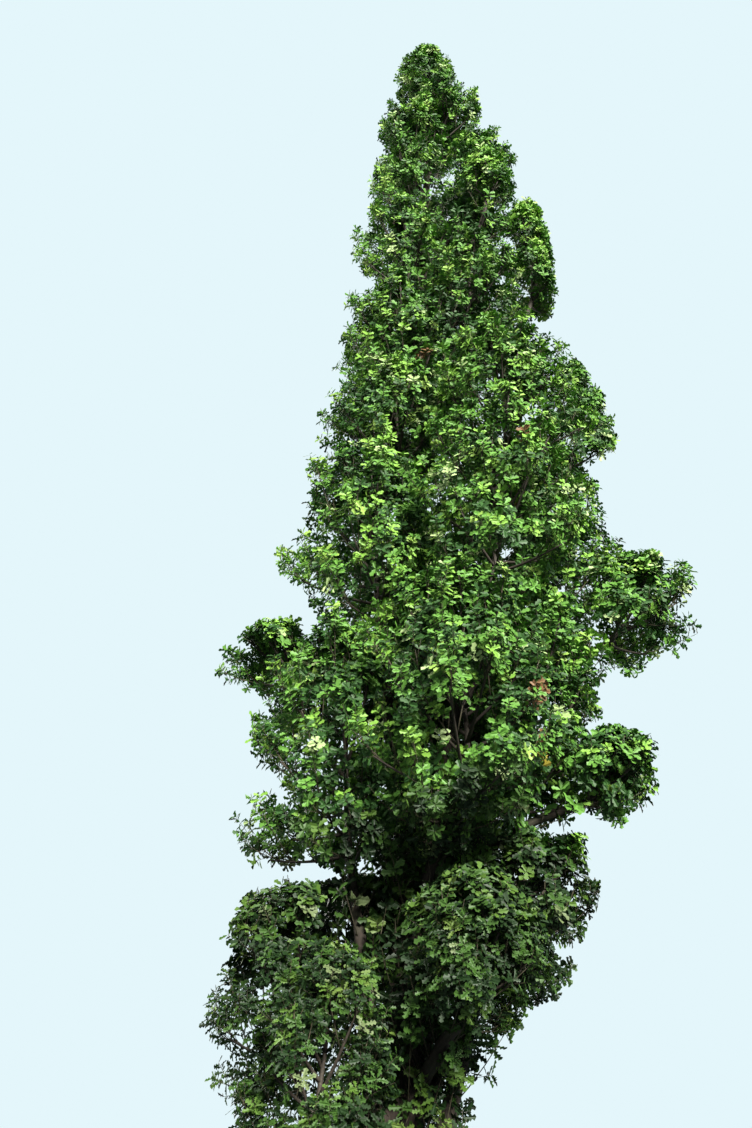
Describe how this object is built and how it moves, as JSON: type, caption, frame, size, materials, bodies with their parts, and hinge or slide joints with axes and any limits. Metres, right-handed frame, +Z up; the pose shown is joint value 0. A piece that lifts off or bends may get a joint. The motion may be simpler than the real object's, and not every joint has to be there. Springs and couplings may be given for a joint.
{
  "type": "columnar oak tree",
  "caption": "Tall columnar English oak in full summer leaf: a straight trunk that runs up through a narrow crown of steep boughs and dense leafy masses.",
  "frame": {"origin": "centre of the flat cut under the trunk, at ground level", "axes": "+Z up along the trunk, -Y towards the viewer of the picture, +X to the viewer's right"},
  "size_m": [5.0181, 3.9379, 22.8015],
  "materials": {
    "bark": "rough, furrowed grey-brown bark",
    "leaves": "soft satin green oak leaves"
  },
  "bodies": {
    "root": {"trunk": "bark", "bough_skirt_1": "bark", "bough_skirt_2": "bark", "bough_skirt_3": "bark", "bough_low_1": "bark", "bough_low_2": "bark", "bough_low_3": "bark", "bough_waist_1": "bark", "bough_waist_2": "bark", "bough_waist_3": "bark", "bough_waist_4": "bark", "bough_middle_1": "bark", "bough_middle_2": "bark", "bough_middle_3": "bark", "bough_low_front": "bark", "bough_front_tuft": "bark", "bough_right_skirt": "bark", "bough_right_tuft": "bark", "bough_left_arm": "bark", "bough_right_arm": "bark", "bough_right_spire": "bark", "bough_side_spire": "bark", "bough_top_spire": "bark", "foliage_skirt_1": "leaves", "foliage_skirt_2": "leaves", "foliage_skirt_3": "leaves", "foliage_low_1": "leaves", "foliage_low_2": "leaves", "foliage_low_3": "leaves", "foliage_waist_1": "leaves", "foliage_waist_2": "leaves", "foliage_waist_3": "leaves", "foliage_waist_4": "leaves", "foliage_middle_1": "leaves", "foliage_middle_2": "leaves", "foliage_middle_3": "leaves", "foliage_breast_1": "leaves", "foliage_breast_2": "leaves", "foliage_breast_3": "leaves", "foliage_shoulder_1": "leaves", "foliage_shoulder_2": "leaves", "foliage_shoulder_3": "leaves", "foliage_neck_1": "leaves", "foliage_neck_2": "leaves", "foliage_neck_3": "leaves", "foliage_crest_1": "leaves", "foliage_crest_2": "leaves", "foliage_crest_3": "leaves", "foliage_tip": "leaves", "foliage_low_front": "leaves", "foliage_front_tuft": "leaves", "foliage_right_skirt": "leaves", "foliage_right_tuft": "leaves", "foliage_left_arm": "leaves", "foliage_right_arm": "leaves", "foliage_right_spire": "leaves", "foliage_side_spire": "leaves", "foliage_top_spire": "leaves"}
  },
  "joints": []
}
